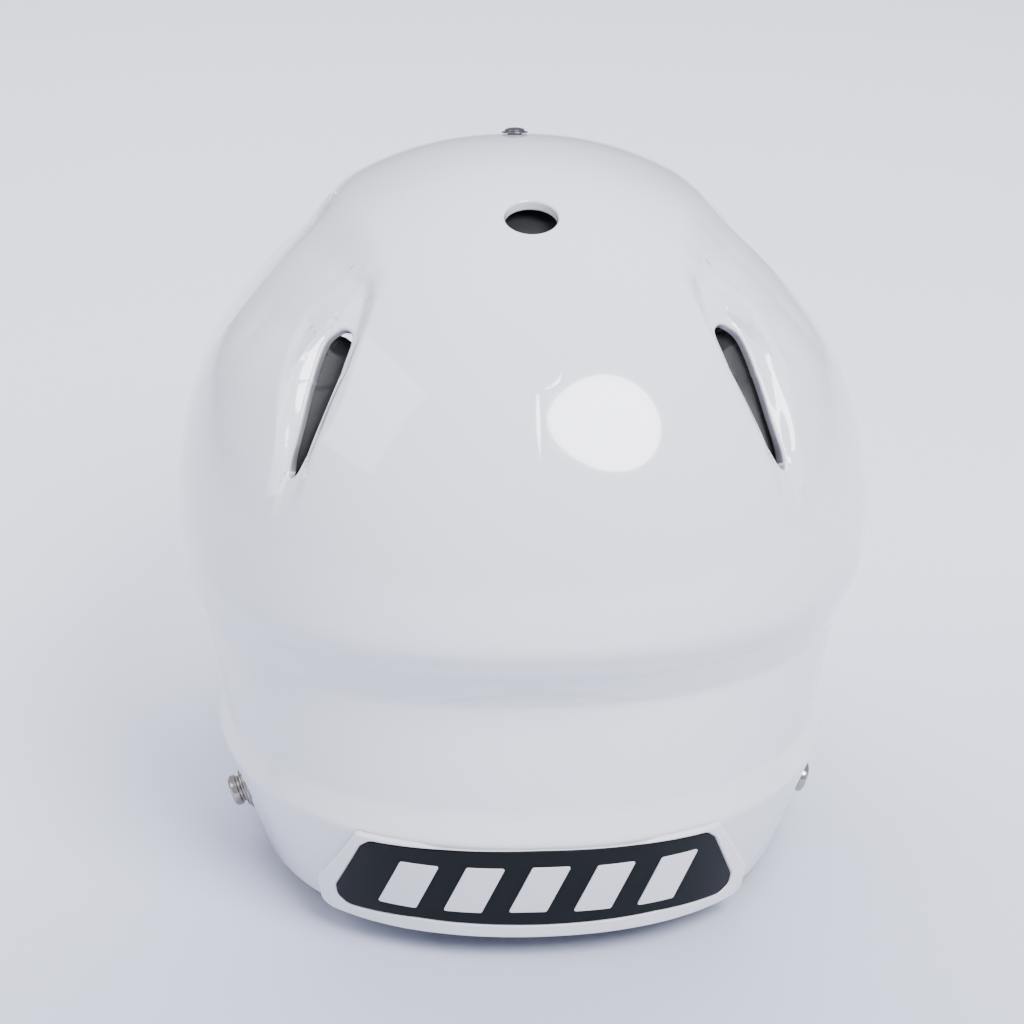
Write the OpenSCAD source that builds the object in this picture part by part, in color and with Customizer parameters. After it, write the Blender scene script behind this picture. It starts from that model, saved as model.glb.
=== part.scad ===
// American football helmet: hard shell, rear and front bumpers, hinged facemask with
// quarter-turn side clips, chin strap snap studs and a padded liner.
// The wearer faces -Y and +Z is up. Shapes are built about the shell's widest section, and
// stand() then moves them so that the origin is under the middle of the whole helmet.

/* [Shell] */
// Width of the shell across the temples
shell_w = 229; // [200:1:260]
// Length of the shell behind the widest section
rear_len = 122; // [105:1:140]
// Length of the shell in front of the widest section
front_len = 148; // [130:1:165]
// Height of the dome above the widest section
crown_h = 116.5; // [100:1:130]
// Height of the widest section
eq_z = 122; // [110:1:135]
// Thickness of the shell wall
wall = 4; // [3:0.1:5]
// Squareness of the plan shape, 2 is an ellipse
squareness = 2.25; // [2:0.05:3]
// Height of the upper edge of the step under the dome
step_top_z = 107; // [100:0.5:112]
// Height of the lower edge of the step under the dome
step_low_z = 93.4; // [85:0.2:98]
// Height of the ridge round the nape
ridge_z = 57.6; // [54:0.2:70]
// Height of the lower edge of the band under the ridge
band_z = 49; // [44:0.5:52]
// Height of the side and rear bottom edge
edge_z = 8; // [3:0.5:12]
// Radius of the round hole in the crown
crown_hole_r = 8.25; // [6:0.25:12]
// Radius of the ear openings
ear_r = 13; // [10:0.5:16]

/* [Vents] */
// Length of each rear vent slot
vent_len = 49; // [30:1:54]
// Width of a rear vent
vent_w = 9; // [7:0.2:12]
// Length of each front vent slot
slit_len = 40; // [16:1:44]
// Width of a front vent slot
slit_w = 9; // [3:0.5:10]

/* [Bumpers] */
// How far the rear bumper stands out at its top edge
bumper_t0 = 2.2; // [1.8:0.1:4]
// How far the rear bumper stands out at its bottom edge
bumper_t1 = 5; // [3:0.2:7]
// Half width of the rear bumper at its top edge
bumper_top = 58; // [45:1:62]
// Half width of the rear bumper at its widest
bumper_low = 70; // [60:1:74]
// Half width of the forehead bumper
brow_half = 18; // [12:1:20]

/* [Facemask] */
// Radius of the facemask wire
wire_r = 3; // [2.5:0.1:3.5]
// Height of the uppermost jaw bar
bar_top_z = 98; // [90:1:104]
// Height of the lowest jaw bar
bar_low_z = 28; // [20:1:40]
// Reach of the uppermost jaw bar from its centre line
bar_top_r = 103; // [100:1:108]
// Reach of the lowest jaw bar
bar_low_r = 92; // [88:1:98]
// Height of the brow bar that the mask swings on
brow_bar_z = 166; // [162:1:170]
// Distance of the brow bar in front of the origin
brow_bar_y = 152; // [148:1:158]
// Half length of the straight part of the brow bar
brow_bar_half = 52; // [44:1:60]
// Distance from the middle to each brow clip
clip_x = 30; // [26:1:36]

/* [Hardware] */
// Radius of the snap stud head
stud_r = 5.4; // [4.5:0.1:6]
// Radius of the screw and stud shanks
shank_r = 2.4; // [2:0.1:3]
// Radius of the quarter-turn post
post_r = 3.95; // [3:0.05:5]

/* [Liner] */
// Gap between the shell and the pads
pad_gap = 1.2; // [0.5:0.1:3]
// Thickness of the crown pad
crown_pad_t = 20; // [12:1:26]
// Thickness of the side pads
side_pad_t = 26; // [14:1:30]
// Thickness of the front and nape pads
end_pad_t = 28; // [14:1:32]

/* [Hidden] */
$fn = 48;
half_w = shell_w / 2;
segs = 72;
top_rings = 18;
lug = 0.3;
// Room in front of the origin of the shapes is longer than behind it by twice this
set_back = (bar_top_r + wire_r + 80 - rear_len) / 2;
// Inset of the wall from the plan shape: equator, step top, step low, ridge, band edge, base
drop_rear = [0, 10.4, 17.8, 15.0, 9.7, 30.8];
drop_side = [0, 0.9, 6.5, 13.3, 11, 29.1];
// Valley that carries the vents: side distance, rear distance, depth, half width
vale = [[77, 92, 0, 5], [73.5, 85, 3, 8], [65, 72, 6.5, 11], [60.5, 64, 6, 12], [57, 56, 2.2, 13],
        [68, 46, 3.2, 23], [75, 28, 3.4, 26], [82, 5, 2.6, 27], [90, -25, 4.6, 37],
        [84, -52, 4.4, 33], [84, -75, 4.4, 40], [64, -92, 0, 16]];
// Outline of a rear vent, as shares of its width and of half its length
vent_shape = [[-0.71, 0.8], [-0.7, 0.94], [-0.51, 1.05], [-0.22, 1.09], [0.07, 1.06], [0.21, 0.96],
              [0.24, 0.65], [0.3, 0.24], [0.31, -0.08], [0.26, -0.41], [0.2, -0.71],
              [0.11, -0.86], [-0.07, -0.92], [-0.2, -0.91], [-0.3, -0.78], [-0.34, -0.49],
              [-0.39, -0.2], [-0.5, 0.12], [-0.62, 0.45]];

module stand() { translate([0, set_back, 0]) children(); }

// ---- shell surface ----------------------------------------------------------

function clip01(t) = max(0, min(1, t));
function ease(t) = let (k = clip01(t)) k * k * (3 - 2 * k);
function len_at(a) = cos(a) > 0 ? rear_len : front_len;
function plan(a) = pow(pow(abs(sin(a)) / half_w, squareness)
                       + pow(abs(cos(a)) / len_at(a), squareness), -1 / squareness);
// Outward direction of the plan shape at azimuth a, which is 0 at the rear and 90 at +X
function plan_dir(a) =
    let (gx = sign(sin(a)) * pow(abs(sin(a)), squareness - 1) / pow(half_w, squareness),
         gy = sign(cos(a)) * pow(abs(cos(a)), squareness - 1) / pow(len_at(a), squareness))
    [gx, gy] / norm([gx, gy]);

// Nearness to one leg of the valley, as a share of its half width, and its depth there
function leg(x, y, p, q) =
    let (d = [q.x - p.x, q.y - p.y],
         t = clip01(((x - p.x) * d.x + (y - p.y) * d.y) / (d * d)),
         away = norm([x - p.x - t * d.x, y - p.y - t * d.y]))
    [away / (p[3] + t * (q[3] - p[3])), p[2] + t * (q[2] - p[2])];
function valley(x, y) =
    let (hits = [for (i = [0 : len(vale) - 2]) leg(abs(x), y, vale[i], vale[i + 1])],
         near = min([for (h = hits) h[0]]),
         deep = max([for (h = hits) if (h[0] == near) h[1]]))
    deep * (1 - ease((near - 0.3) / 0.7));

function fade(y, z) =
    let (f = ease((60 - y) / 40)) ease((z - 142 - 10 * f) / (20 + 36 * f));

// Point on the dome. s runs from 0 at the top to 1 at the widest section.
function dome(a, s, off) =
    let (rho = plan(a), x = rho * sin(a) * sin(90 * s), y = rho * cos(a) * sin(90 * s),
         z = eq_z + crown_h * cos(90 * s),
         gx = sign(sin(a)) * pow(abs(rho * sin(a) / half_w), squareness - 1)
              / half_w * sin(90 * s),
         gy = sign(cos(a)) * pow(abs(rho * cos(a) / len_at(a)), squareness - 1)
              / len_at(a) * sin(90 * s),
         gz = cos(90 * s) / crown_h,
         g = [gx, gy, gz] / norm([gx, gy, gz]))
    [x, y, z] + g * (off - valley(x, y) * fade(y, z));

function drop(list, z) = z > step_top_z
    ? list[1] * pow(clip01((eq_z - z) / (eq_z - step_top_z)), 2)
    : lookup(z, [[-4, list[5]], [band_z, list[4]], [ridge_z, list[3]],
                 [step_low_z, list[2]], [step_top_z, list[1]]]);
// Point on the lower wall at height z
function skirt(a, z, off) =
    let (k = pow(max(0, cos(a)), 2),
         r = plan(a) - drop(drop_side, z) * (1 - k) - drop(drop_rear, z) * k,
         n = plan_dir(a))
    [r * sin(a) + off * n.x, r * cos(a) + off * n.y, z];

// Level h is 0 at the crown, 1 at the widest section and 2 at the bottom
function level(z) = z >= eq_z ? acos((z - eq_z) / crown_h) / 90 : 1 + (eq_z - z) / eq_z;
function skin(a, h, off = 0) =
    h <= 1 ? dome(a, h, off) : skirt(a, eq_z * (2 - h), off);
function skin_dir(a, h) =
    let (n = cross(skin(a, h + 0.004) - skin(a, h - 0.004), skin(a - 1, h) - skin(a + 1, h)))
    n / norm(n);

// ---- shapes that follow the surface ------------------------------------------

// A plain offset, or one that runs between two values from the first level to the last
function span(f, k) = is_list(f) ? f[0] + (f[1] - f[0]) * k : f;

// Closed slab of the surface between two azimuths, two levels and two offsets
module slab(a0, a1, h0, h1, outer, inner, na = 8, nh = 8) {
    w = na + 1;
    half = w * (nh + 1);
    pts = [for (f = [outer, inner], i = [0 : nh], j = [0 : na])
        skin(a0 + (a1 - a0) * j / na, h0 + (h1 - h0) * i / nh, span(f, i / nh))];
    function id(f, i, j) = f * half + i * w + j;
    faces = concat(
        [for (i = [0 : nh - 1], j = [0 : na - 1]) each [
            [id(0, i, j), id(0, i + 1, j), id(0, i + 1, j + 1)],
            [id(0, i, j), id(0, i + 1, j + 1), id(0, i, j + 1)],
            [id(1, i, j), id(1, i + 1, j + 1), id(1, i + 1, j)],
            [id(1, i, j), id(1, i, j + 1), id(1, i + 1, j + 1)]]],
        [for (j = [0 : na - 1]) each [
            [id(0, 0, j), id(0, 0, j + 1), id(1, 0, j + 1)],
            [id(0, 0, j), id(1, 0, j + 1), id(1, 0, j)],
            [id(0, nh, j), id(1, nh, j), id(1, nh, j + 1)],
            [id(0, nh, j), id(1, nh, j + 1), id(0, nh, j + 1)]]],
        [for (i = [0 : nh - 1]) each [
            [id(0, i, 0), id(1, i, 0), id(1, i + 1, 0)],
            [id(0, i, 0), id(1, i + 1, 0), id(0, i + 1, 0)],
            [id(0, i, na), id(0, i + 1, na), id(1, i + 1, na)],
            [id(0, i, na), id(1, i + 1, na), id(1, i, na)]]]);
    polyhedron(points = pts, faces = faces, convexity = 4);
}

// Closed cap or shell of revolution-like rings from the crown down through levels hs
module bowl(hs, outer, inner, n = segs) {
    m = len(hs);
    half = 1 + m * n;
    pts = concat([skin(0, 0.0001, outer)],
                 [for (h = hs, j = [0 : n - 1]) skin(j * 360 / n, h, outer)],
                 [skin(0, 0.0001, inner)],
                 [for (h = hs, j = [0 : n - 1]) skin(j * 360 / n, h, inner)]);
    function id(f, i, j) = f * half + 1 + i * n + j % n;
    faces = concat(
        [for (j = [0 : n - 1]) each [[0, id(0, 0, j), id(0, 0, j + 1)],
                                     [half, id(1, 0, j + 1), id(1, 0, j)]]],
        [for (i = [0 : m - 2], j = [0 : n - 1]) each [
            [id(0, i, j), id(0, i + 1, j), id(0, i + 1, j + 1)],
            [id(0, i, j), id(0, i + 1, j + 1), id(0, i, j + 1)],
            [id(1, i, j), id(1, i + 1, j + 1), id(1, i + 1, j)],
            [id(1, i, j), id(1, i, j + 1), id(1, i + 1, j + 1)]]],
        [for (j = [0 : n - 1]) each [
            [id(0, m - 1, j), id(1, m - 1, j), id(1, m - 1, j + 1)],
            [id(0, m - 1, j), id(1, m - 1, j + 1), id(0, m - 1, j + 1)]]]);
    polyhedron(points = pts, faces = faces, convexity = 6);
}

// Stands its children on the surface with their Z along the outward normal
module on_skin(a, h, off = 0) {
    n = skin_dir(a, h);
    translate(skin(a, h) + off * n)
        rotate([0, 0, atan2(n.y, n.x)]) rotate([0, acos(n.z), 0]) children();
}

// Rear vent cutter on one side, s = 1 for +X
module rear_vent(s) {
    mirror([s < 0 ? 1 : 0, 0, 0]) translate([66, 74.5, 180])
        multmatrix([[-0.783, -0.376, 0.494, 0], [0.619, -0.526, 0.582, 0],
                    [0.041, 0.762, 0.646, 0]])
            linear_extrude(40, center = true)
                polygon([for (p = vent_shape) [p.x * vent_w, p.y * vent_len / 2]]);
}

// ---- places of the hardware ---------------------------------------------------

stud_places = [[80, level(20.5)], [-80, level(20.5)], [106, level(84)], [-106, level(84)]];
vent_tilt = atan((bar_top_r - bar_low_r) / (bar_top_z - bar_low_z));
mask_y = -80;
lock_z = 66;
lock_x = bar_low_r + (lock_z - bar_low_z) * tan(vent_tilt);
brow_seat = [clip_x, -127.2, 177];
brow_pitch = 55.2;
bumper_screw_a = 33;
crown_screw_h = level(235);
crown_hole_h = level(230.6);

// Frame of a side clip: X outward, Y backward, Z along the mask's side bar
module at_side_clip(s) {
    mirror([s < 0 ? 1 : 0, 0, 0]) translate([lock_x, mask_y, lock_z])
        rotate([0, vent_tilt, 0]) children();
}
// Frame of a brow clip: X along the brow bar, Y up the shell, Z away from it
module at_brow_clip(s) {
    translate([s * brow_seat.x, brow_seat.y, brow_seat.z])
        rotate([brow_pitch, 0, 0]) children();
}

// ---- shell and bumpers ----------------------------------------------------------

module shell() {
    color([0.93, 0.93, 0.94]) difference() {
        bowl(concat([for (i = [1 : top_rings]) i / top_rings],
                    [for (z = [117, 112, step_top_z, 100, step_low_z, 75, ridge_z, band_z, 33, 17, 0])
                        level(z)]), 0, -wall);
        // face opening, seen from the side
        rotate([90, 0, 90]) linear_extrude(300, center = true)
            polygon([[-210, 154], [-128, 152], [-100, 144], [-86, 130], [-79, 114], [-80, 100],
                     [-96, 88], [-110, 78], [-116, 64], [-114, 24], [-106, -5], [-210, -5]]);
        // bottom trim, the jaw flaps reach lower than the sides
        rotate([90, 0, 90]) linear_extrude(300, center = true)
            polygon([[200, -5], [200, edge_z], [-30, edge_z], [-58, 0], [-58, -5]]);
        for (s = [-1, 1]) {
            rear_vent(s);
            // front vent slot in the valley wall
            mirror([s < 0 ? 1 : 0, 0, 0]) translate([61, -27, 215]) rotate([0, 42, 0])
                rotate([0, 0, -8]) cube([slit_w, slit_len, 44], center = true);
            // ear opening
            translate([s * 100, 0, 58]) rotate([0, 90, 0])
                cylinder(r = ear_r, h = 60, center = true);
            // quarter-turn post hole
            at_side_clip(s) translate([-12, 22, 0]) rotate([0, 90, 0])
                cylinder(r = post_r + 0.4, h = 24);
            // brow clip screw hole
            at_brow_clip(s) translate([0, 9, -12])
                cylinder(r = shank_r + 0.2, h = 24);
            // rear bumper screw hole
            on_skin(s * bumper_screw_a, level(26)) cylinder(r = shank_r + 0.2, h = 24, center = true);
        }
        on_skin(0, crown_hole_h) cylinder(r = crown_hole_r, h = 30, center = true);
        on_skin(180, crown_screw_h) cylinder(r = shank_r + 0.2, h = 24, center = true);
        on_skin(180, level(166)) cylinder(r = shank_r + 0.2, h = 24, center = true);
        for (p = stud_places) on_skin(p[0], p[1])
            cylinder(r = shank_r + 0.2, h = 30, center = true);
    }
}

module bumper_outline() {
    polygon([[-bumper_top, 55], [bumper_top, 55], [bumper_top, 48], [bumper_low, 22],
             [bumper_low - 1, 12], [bumper_low - 4, 9.8], [30, 9.9], [0, 9.5], [-30, 9.9],
             [-bumper_low + 4, 9.8], [-bumper_low + 1, 12], [-bumper_low, 22],
             [-bumper_top, 48]]);
}
module panel_outline() {
    polygon([[-52, 46.8], [-30, 48], [0, 48.3], [30, 48], [52, 46.8], [55.5, 43.6],
             [63.8, 22], [63.6, 18], [60, 14.8], [38, 16.2], [0, 15.4], [-38, 16.2],
             [-60, 14.8], [-63.6, 18], [-63.8, 22], [-55.5, 43.6]]);
}
module from_rear() { translate([0, 160, 0]) rotate([90, 0, 0]) linear_extrude(160) children(); }
// Wedge on the nape between two depths below the bumper's face
module bumper_layer(outer, inner) {
    slab(-52, 52, level(band_z), level(5), [bumper_t0 - outer, bumper_t1 - outer],
         inner == undef ? lug : [bumper_t0 - inner, bumper_t1 - inner], 26, 6);
}

module rear_bumper() {
    color([0.9, 0.9, 0.91]) difference() {
        intersection() {
            bumper_layer(0);
            from_rear() bumper_outline();
        }
        intersection() {
            bumper_layer(-3, 1.2);
            from_rear() offset(delta = 0.4) panel_outline();
        }
        for (s = [-1, 1]) on_skin(s * bumper_screw_a, level(26), -10)
            cylinder(r = shank_r + 0.15, h = 12.2);
    }
}
module bumper_panel() {
    color([0.12, 0.13, 0.15]) intersection() {
        bumper_layer(0.3, 1);
        from_rear() panel_outline();
    }
}
// Plain emblem: a row of slanted bars
module bumper_emblem() {
    color([0.9, 0.9, 0.9]) intersection() {
        bumper_layer(-0.2, 0.1);
        from_rear() union() {
            for (i = [-2 : 2]) translate([i * 20.5, 31.6 - abs(i) * 0.4])
                polygon([[-2.5, -10], [9.5, -10], [2.5, 10], [-9.5, 10]]);
        }
    }
}
module bumper_screws() {
    color([0.72, 0.72, 0.74]) for (s = [-1, 1]) on_skin(s * bumper_screw_a, level(26)) {
        translate([0, 0, -wall - 3]) cylinder(r = 4.4, h = 2.2);
        translate([0, 0, -wall - 2]) cylinder(r = shank_r, h = wall + 4);
    }
}

module brow_bumper() {
    color([0.9, 0.9, 0.91]) difference() {
        slab(180 - brow_half * 0.47, 180 + brow_half * 0.47, level(186), level(156),
             lug + 4.2, lug, 8, 6);
        on_skin(180, level(166)) cylinder(r = shank_r + 0.15, h = 20, center = true);
    }
}
module pan_screw(seat, below, head_r) {
    difference() {
        union() {
            translate([0, 0, seat]) cylinder(r1 = head_r, r2 = head_r * 0.72, h = 2);
            translate([0, 0, -below]) cylinder(r = shank_r, h = below + seat + 0.5);
        }
        translate([0, 0, seat + 2]) cube([head_r * 1.1, 1, 1.8], center = true);
        translate([0, 0, seat + 2]) cube([1, head_r * 1.1, 1.8], center = true);
    }
}
module brow_screw() {
    color([0.75, 0.75, 0.77]) on_skin(180, level(166)) pan_screw(4.9, 7, 4.2);
}
module crown_screw() {
    color([0.75, 0.75, 0.77]) on_skin(180, crown_screw_h) {
        pan_screw(0.8, 7, 3.4);
        difference() {
            translate([0, 0, 0.3]) cylinder(r = 4.4, h = 0.5);
            cylinder(r = shank_r + 0.1, h = 5, center = true);
        }
    }
}

// ---- facemask -------------------------------------------------------------------

module rod(p, q, r) {
    d = q - p;
    translate(p) rotate([0, 0, atan2(d.y, d.x)]) rotate([0, acos(d.z / norm(d)), 0])
        cylinder(r = r, h = norm(d));
}
module jaw_bar(z) {
    r = bar_low_r + (z - bar_low_z) * tan(vent_tilt);
    translate([0, mask_y, z]) rotate([0, 0, 180.5]) rotate_extrude(angle = 179, $fn = 96)
        translate([r, 0]) circle(r = wire_r, $fn = 32);
}
module facemask() {
    color([0.92, 0.92, 0.93]) union() {
        for (z = [bar_top_z, 76, 52, bar_low_z]) jaw_bar(z);
        for (s = [-1, 1]) {
            rod([s * bar_low_r, mask_y, bar_low_z], [s * bar_top_r, mask_y, bar_top_z],
                wire_r + 0.2);
            rod([s * brow_bar_half, -brow_bar_y, brow_bar_z],
                [s * bar_top_r, mask_y, bar_top_z], wire_r);
            for (p = [[s * bar_low_r, mask_y, bar_low_z], [s * bar_top_r, mask_y, bar_top_z],
                      [s * brow_bar_half, -brow_bar_y, brow_bar_z]])
                translate(p) sphere(r = wire_r + 0.5);
            rod([s * 34, mask_y - sqrt(pow(bar_low_r, 2) - 34 * 34), bar_low_z],
                [s * 34, mask_y - sqrt(pow(bar_top_r, 2) - 34 * 34), bar_top_z], wire_r - 0.3);
        }
        translate([-brow_bar_half, -brow_bar_y, brow_bar_z]) rotate([0, 90, 0])
            cylinder(r = wire_r, h = 2 * brow_bar_half);
    }
}

// ---- clips ------------------------------------------------------------------------

bar_up = -22.4;
bar_out = 13;
module brow_clip(s) {
    difference() {
        at_brow_clip(s) difference() {
            union() {
                hull() {
                    translate([-6, bar_up, bar_out]) rotate([0, 90, 0])
                        cylinder(r = wire_r + 3.5, h = 12, $fn = 32);
                    translate([-6, -12, -5]) cube([12, 12, 9]);
                }
                translate([-6, -6, -6]) cube([12, 22, 10]);
            }
            translate([0, 9, 0]) cylinder(r = shank_r + 0.2, h = 30, center = true);
        }
        translate([0, -brow_bar_y, brow_bar_z]) rotate([0, 90, 0])
            cylinder(r = wire_r + 0.06, h = 200, center = true);
        slab(s > 0 ? 157 : 187, s > 0 ? 173 : 203, level(206), level(140), lug, -14, 8, 12);
    }
}
module brow_clips() { color([0.9, 0.9, 0.91]) for (s = [-1, 1]) brow_clip(s); }
module brow_clip_screws() {
    color([0.75, 0.75, 0.77]) for (s = [-1, 1])
        at_brow_clip(s) translate([0, 9, 0]) pan_screw(4.1, 10, 4.2);
}
module brow_clip_nuts() {
    color([0.7, 0.7, 0.72]) for (s = [-1, 1]) at_brow_clip(s) translate([0, 9, -9.7])
        difference() {
            cylinder(r = 5.5, h = 2.6);
            translate([0, 0, -1]) cylinder(r = shank_r + 0.05, h = 6);
        }
}

module side_clip(s) {
    color([0.9, 0.9, 0.91]) difference() {
        at_side_clip(s) difference() {
            union() {
                translate([-12, -7, -9]) cube([18.5, 29, 18]);
                translate([-12, 22, 0]) rotate([0, 90, 0]) cylinder(r = 9, h = 18.5);
            }
            cylinder(r = wire_r + 0.5, h = 40, center = true);
            translate([-wire_r - 0.5, -20, -20]) cube([2 * wire_r + 1, 20, 40]);
            translate([-14, 22, 0]) rotate([0, 90, 0]) cylinder(r = post_r + 0.05, h = 30);
        }
        slab(s > 0 ? 92 : -142, s > 0 ? 142 : -92, level(84), level(46), lug, -16, 12, 6);
    }
}
module side_clip_l() { side_clip(1); }
module side_clip_r() { side_clip(-1); }

module turn_lock(s) {
    color([0.72, 0.72, 0.74]) at_side_clip(s) translate([0, 22, 0]) rotate([0, 90, 0])
        difference() {
            union() {
                translate([0, 0, 6.7]) cylinder(r = 6.4, h = 2.2);
                translate([0, 0, -8.6]) cylinder(r = post_r, h = 16);
                translate([-1.7, -7, -10.6]) cube([3.4, 14, 2.4]);
            }
            translate([0, 0, 9]) cube([8.4, 1.6, 2.6], center = true);
        }
}
module turn_lock_l() { turn_lock(1); }
module turn_lock_r() { turn_lock(-1); }

// ---- chin strap snap studs --------------------------------------------------------

module snap_studs() {
    color([0.76, 0.75, 0.74]) for (p = stud_places) on_skin(p[0], p[1]) difference() {
        union() {
            translate([0, 0, -wall - 4]) cylinder(r = shank_r, h = wall + 6);
            translate([0, 0, 1.4]) cylinder(r = stud_r + 1.4, h = 0.8);
            translate([0, 0, 2.1]) cylinder(r = stud_r - 0.7, h = 1.6);
            translate([0, 0, 3.6]) cylinder(r = stud_r, h = 2.8);
        }
        translate([0, 0, 6.4]) cylinder(r = stud_r - 1.8, h = 2.2, center = true);
    }
}
module stud_washers() {
    color([0.7, 0.7, 0.71]) for (p = stud_places) on_skin(p[0], p[1]) difference() {
        translate([0, 0, 0.3]) cylinder(r = stud_r + 2.6, h = 1);
        cylinder(r = shank_r + 0.15, h = 8, center = true);
    }
}
module stud_nuts() {
    color([0.68, 0.68, 0.7]) for (p = stud_places) on_skin(p[0], p[1], -wall - 2.9)
        difference() {
            cylinder(r = 6, h = 2.2);
            translate([0, 0, -1]) cylinder(r = shank_r + 0.05, h = 5);
        }
}

// ---- liner --------------------------------------------------------------------------

in0 = -wall - pad_gap;
module crown_pad() {
    color([0.16, 0.16, 0.18]) bowl([0.1, 0.2, 0.3, 0.37, 0.4], in0 - 3, in0 - crown_pad_t, 32);
}
module front_pad() {
    color([0.16, 0.16, 0.18])
        slab(152, 208, level(205), level(154), in0 - 8, in0 - end_pad_t, 12, 5);
}
module nape_pad() {
    color([0.14, 0.14, 0.16])
        slab(-27, 27, level(92), level(0.02), in0, in0 - end_pad_t, 12, 8);
}
module side_pad(s) {
    color([0.16, 0.16, 0.18])
        slab(s > 0 ? 72 : -132, s > 0 ? 132 : -72, level(168), level(100),
             in0 - 1, in0 - side_pad_t, 12, 6);
}
module side_pad_l() { side_pad(1); }
module side_pad_r() { side_pad(-1); }
module rear_pad(s) {
    color([0.2, 0.2, 0.22])
        slab(s > 0 ? 3 : -62, s > 0 ? 62 : -3, level(204), level(112),
             in0 - 2, in0 - side_pad_t, 12, 8);
}
module rear_pad_l() { rear_pad(1); }
module rear_pad_r() { rear_pad(-1); }
module jaw_pad(s) {
    color([0.16, 0.16, 0.18])
        slab(s > 0 ? 127 : -147, s > 0 ? 147 : -127, level(78), level(8),
             in0 - 2, in0 - 18, 6, 6);
}
module jaw_pad_l() { jaw_pad(1); }
module jaw_pad_r() { jaw_pad(-1); }
module jaw_snaps() {
    color([0.3, 0.3, 0.32]) for (a = [133, 141, -133, -141])
        on_skin(a, level(36), -wall - 2.4) cylinder(r = 3.6, h = 1.7);
}

stand() shell();
stand() rear_bumper();
stand() bumper_panel();
stand() bumper_emblem();
stand() bumper_screws();
stand() brow_bumper();
stand() brow_screw();
stand() crown_screw();
stand() facemask();
stand() brow_clips();
stand() brow_clip_screws();
stand() brow_clip_nuts();
stand() side_clip_l();
stand() side_clip_r();
stand() turn_lock_l();
stand() turn_lock_r();
stand() snap_studs();
stand() stud_washers();
stand() stud_nuts();
stand() crown_pad();
stand() front_pad();
stand() nape_pad();
stand() side_pad_l();
stand() side_pad_r();
stand() rear_pad_l();
stand() rear_pad_r();
stand() jaw_pad_l();
stand() jaw_pad_r();
stand() jaw_snaps();
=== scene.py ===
"""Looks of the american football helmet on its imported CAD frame.

Lengths are in mm until a mesh is made. Shapes are laid out round their own centre and moved onto the
frame by SHIFT. A point of the shell's surface is given by its azimuth, in degrees from the back round
the +X side, and its level: 0 at the crown, 1 at the widest height, 2 at the bottom.
"""
import math

import bpy
import numpy as np
from mathutils import Matrix, Vector


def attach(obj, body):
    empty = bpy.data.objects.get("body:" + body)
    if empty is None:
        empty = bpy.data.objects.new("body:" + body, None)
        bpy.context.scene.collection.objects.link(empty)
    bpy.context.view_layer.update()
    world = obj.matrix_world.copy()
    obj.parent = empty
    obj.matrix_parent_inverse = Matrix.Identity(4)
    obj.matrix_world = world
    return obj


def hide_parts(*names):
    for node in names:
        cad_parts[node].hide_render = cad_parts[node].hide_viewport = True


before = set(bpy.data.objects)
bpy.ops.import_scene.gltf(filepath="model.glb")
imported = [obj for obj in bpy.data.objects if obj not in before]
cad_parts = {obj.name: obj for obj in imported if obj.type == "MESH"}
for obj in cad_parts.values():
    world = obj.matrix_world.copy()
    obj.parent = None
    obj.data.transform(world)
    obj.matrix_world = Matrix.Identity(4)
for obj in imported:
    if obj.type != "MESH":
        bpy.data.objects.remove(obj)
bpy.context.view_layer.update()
MM = 0.001
BODY = "helmet"
SHIFT = np.array([0, 32.0, 0])  # from the shapes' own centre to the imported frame
FAR = 99.0  # distance given where an outline isn't near

# ---- the shell's surface, as in the design ---------------------------------------------
HALF_W, REAR_LEN, FRONT_LEN = 114.5, 122.0, 148.0
CROWN_H, EQ_Z = 116.5, 122.0  # height of the dome, and of its widest section over the floor
SQUARE = 2.25  # exponent of the plan's outline; 2 would be an ellipse
WALL = 4.0
EDGE_Z = 8.0  # lower edge at the nape
CREASE, CREASE_STEPS = 1.2, 9  # the skirt's creases are averaged this far up and down
BREAK_Z = np.array([-4.0, 49.0, 57.6, 93.4, 107.0])  # base, band edge, ridge, step low, step top
DROP_REAR = np.array([30.8, 9.7, 15.0, 17.8, 10.4])
DROP_SIDE = np.array([29.1, 11.0, 13.3, 6.5, 0.9])
# Valley that carries the vents: side distance, rear distance, depth, half width
VALE = np.array([(77, 92, 0, 5), (73.5, 85, 3, 8), (65, 72, 6.5, 11), (60.5, 64, 6, 12), (57, 56, 2.2, 13),
                 (68, 46, 3.2, 23), (75, 28, 3.4, 26), (82, 5, 2.6, 27), (90, -25, 4.6, 37),
                 (84, -52, 4.4, 33), (84, -75, 4.4, 40), (64, -92, 0, 16)], float)


def ease(t):
    """Smooth step from 0 to 1."""
    k = np.clip(t, 0, 1)
    return k * k * (3 - 2 * k)


def plan(a):
    """Radius of the widest section at azimuth a, in radians."""
    s, c = np.sin(a), np.cos(a)
    length = np.where(c > 0, REAR_LEN, FRONT_LEN)
    return ((np.abs(s) / HALF_W) ** SQUARE + (np.abs(c) / length) ** SQUARE) ** (-1 / SQUARE)


def valley(x, y):
    """Depth of the valley, full over the inner 0.3 of its width and running out to its edge."""
    side = np.abs(x)
    near, deep = np.full(side.shape, 9.0), np.zeros(side.shape)
    for p, q in zip(VALE[:-1], VALE[1:]):
        d = q[:2] - p[:2]
        t = np.clip(((side - p[0]) * d[0] + (y - p[1]) * d[1]) / (d @ d), 0, 1)
        away = np.hypot(side - p[0] - t * d[0], y - p[1] - t * d[1]) / (p[3] + t * (q[3] - p[3]))
        closer = away < near
        near = np.where(closer, away, near)
        deep = np.where(closer, p[2] + t * (q[2] - p[2]), deep)
    return deep * (1 - ease((near - 0.3) / 0.7))


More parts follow.
